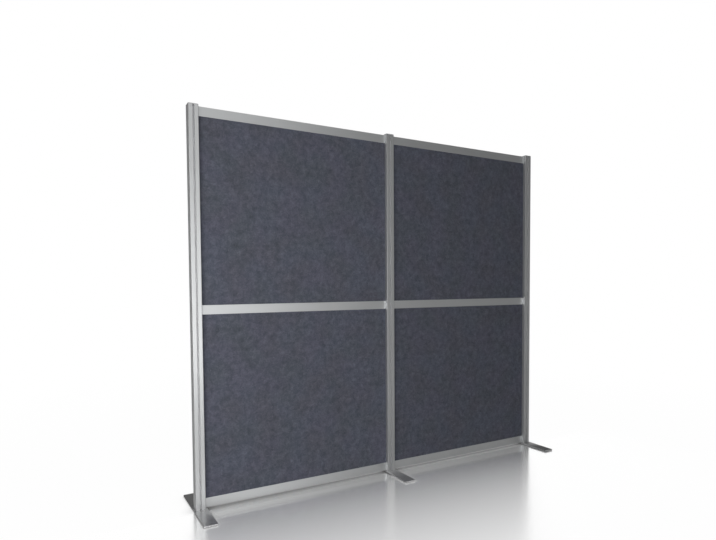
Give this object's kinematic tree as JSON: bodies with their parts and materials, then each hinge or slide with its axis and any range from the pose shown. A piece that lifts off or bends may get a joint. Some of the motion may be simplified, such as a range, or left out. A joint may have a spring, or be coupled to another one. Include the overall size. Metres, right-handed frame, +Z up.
{
  "type": "acoustic divider screen",
  "caption": "Free-standing acoustic room divider screen: charcoal felt boards held by slim rails between slotted square aluminium posts on flat steel feet.",
  "frame": {"origin": "on the floor, under the axis of the centre post", "axes": "+X along the screen to its right end seen from the front, +Y to the rear, +Z up"},
  "size_m": [2.09, 0.4, 1.8],
  "materials": {
    "post_aluminium": "satin anodised extrusion, fine lines along its length",
    "rail_aluminium": "satin anodised extrusion, fine lines along its length",
    "cap_plastic": "fine moulded grain, silver grey",
    "felt": "pressed felt, mottled charcoal with a blue cast",
    "foot_steel": "satin plate",
    "hook_steel": "plain zinc plated",
    "screw_steel": "darkened",
    "pad_rubber": "matt"
  },
  "bodies": {
    "root": {"left_post": "post_aluminium", "centre_post": "post_aluminium", "right_post": "post_aluminium", "left_post_cap": "cap_plastic", "centre_post_cap": "cap_plastic", "right_post_cap": "cap_plastic", "left_top_rail": "rail_aluminium", "left_middle_rail": "rail_aluminium", "left_bottom_rail": "rail_aluminium", "right_top_rail": "rail_aluminium", "right_middle_rail": "rail_aluminium", "right_bottom_rail": "rail_aluminium", "left_upper_panel": "felt", "left_lower_panel": "felt", "right_upper_panel": "felt", "right_lower_panel": "felt", "top_rail_hooks": "hook_steel", "middle_rail_hooks": "hook_steel", "bottom_rail_hooks": "hook_steel", "rail_screws": "screw_steel", "left_foot": "foot_steel", "centre_foot": "foot_steel", "right_foot": "foot_steel", "foot_screws": "screw_steel", "foot_pins": "screw_steel", "left_foot_pads": "pad_rubber", "centre_foot_pads": "pad_rubber", "right_foot_pads": "pad_rubber"}
  },
  "joints": []
}
